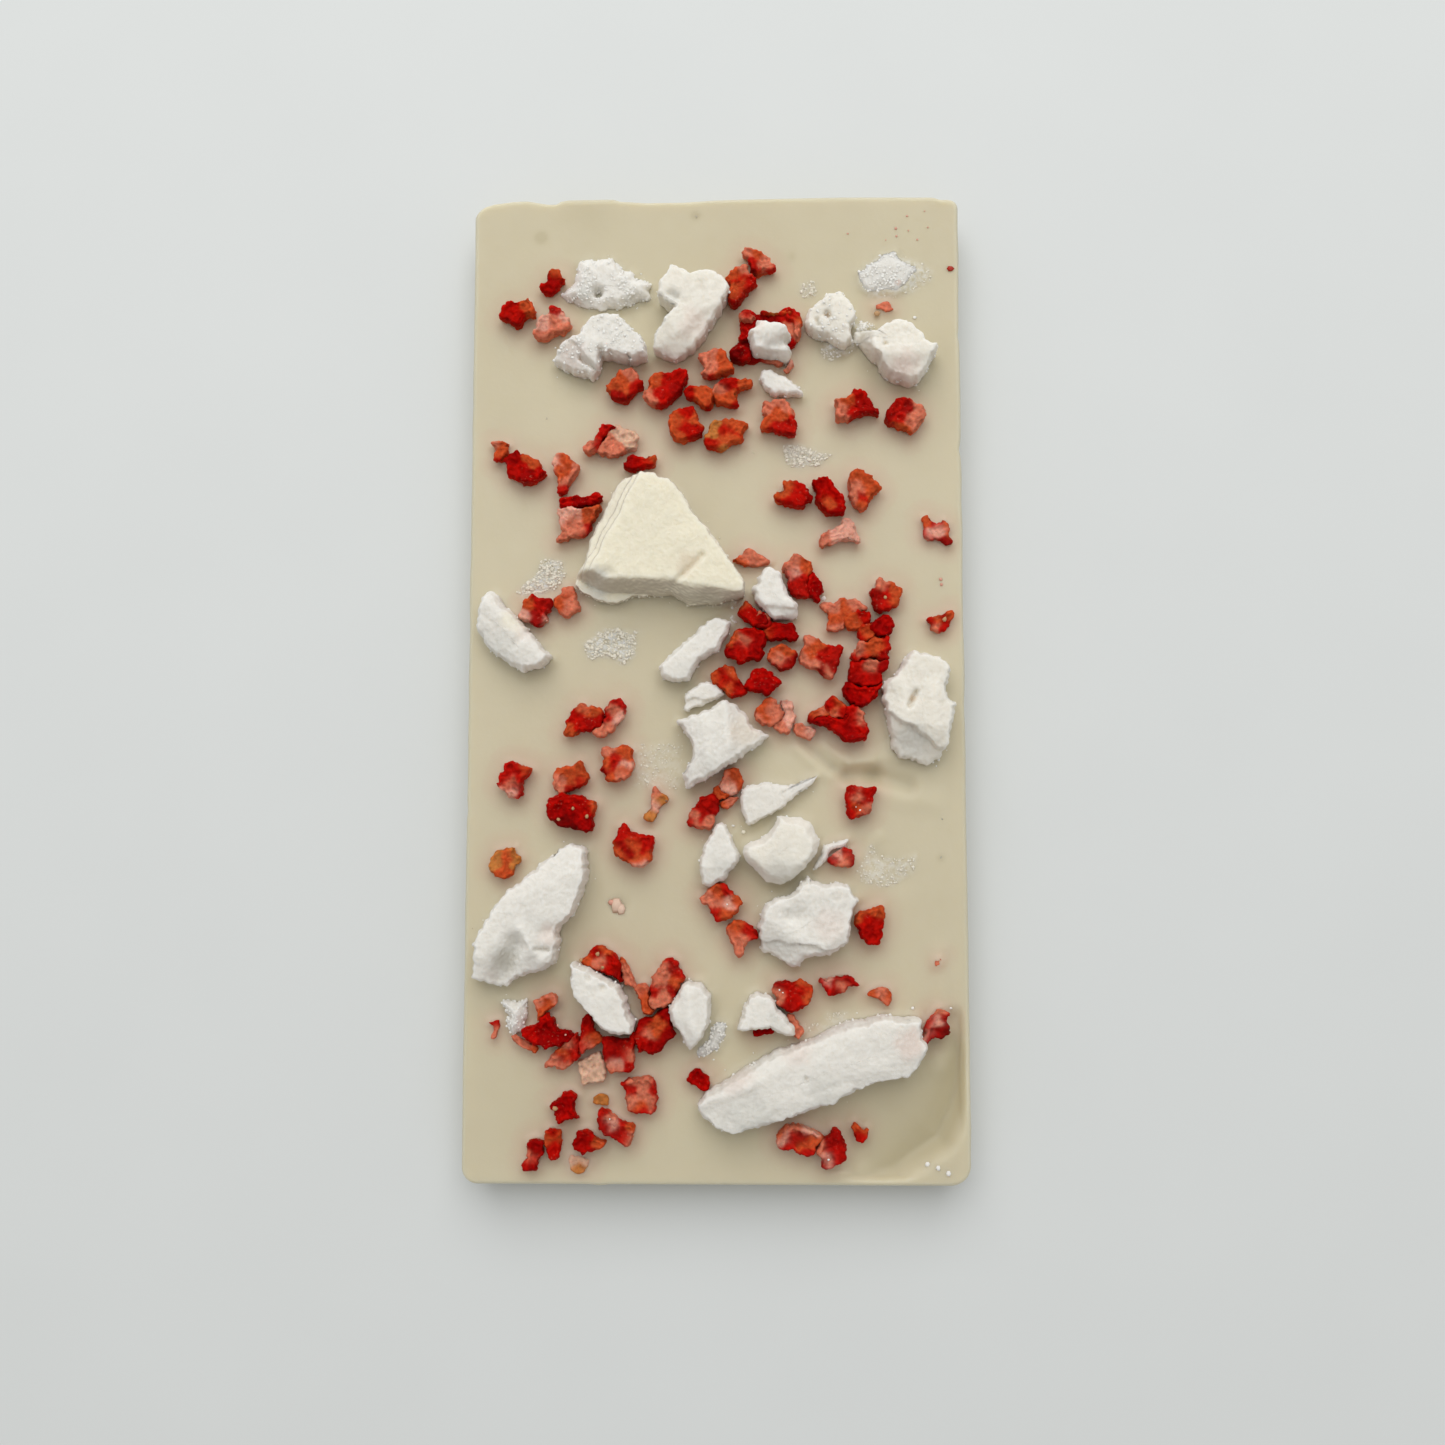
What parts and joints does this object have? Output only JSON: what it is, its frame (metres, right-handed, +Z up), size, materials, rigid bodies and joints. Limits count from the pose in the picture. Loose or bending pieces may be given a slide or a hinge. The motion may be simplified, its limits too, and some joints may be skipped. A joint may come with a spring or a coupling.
{
  "type": "white chocolate bar",
  "caption": "Flat rectangular white chocolate tablet, its face strewn with broken meringue pieces and dried strawberry dice.",
  "frame": {"origin": "centre of the underside", "axes": "+X across the bar, +Y along its length, +Z up, out of the face with the toppings"},
  "size_m": [0.0768, 0.1538, 0.0156],
  "materials": {
    "white_chocolate": "satin ivory white chocolate",
    "white_meringue": "matt powdery white meringue",
    "cream_meringue": "matt cream-white baked meringue",
    "dried_strawberry": "wrinkled dried strawberry, dark red to pink"
  },
  "bodies": {
    "root": {"slab": "white_chocolate", "meringue_01": "white_meringue", "meringue_02": "white_meringue", "meringue_03": "cream_meringue", "meringue_04": "white_meringue", "meringue_05": "white_meringue", "meringue_06": "cream_meringue", "meringue_07": "cream_meringue", "meringue_08": "white_meringue", "meringue_09": "cream_meringue", "meringue_10": "white_meringue", "meringue_11": "white_meringue", "meringue_12": "white_meringue", "meringue_13": "white_meringue", "meringue_14": "white_meringue", "meringue_15": "cream_meringue", "meringue_16": "white_meringue", "meringue_17": "cream_meringue", "meringue_18": "white_meringue", "meringue_19": "white_meringue", "meringue_20": "white_meringue", "meringue_21": "white_meringue", "meringue_22": "white_meringue", "meringue_23": "white_meringue", "meringue_24": "cream_meringue", "meringue_25": "white_meringue", "meringue_26": "white_meringue", "meringue_27": "white_meringue"}
  },
  "joints": []
}
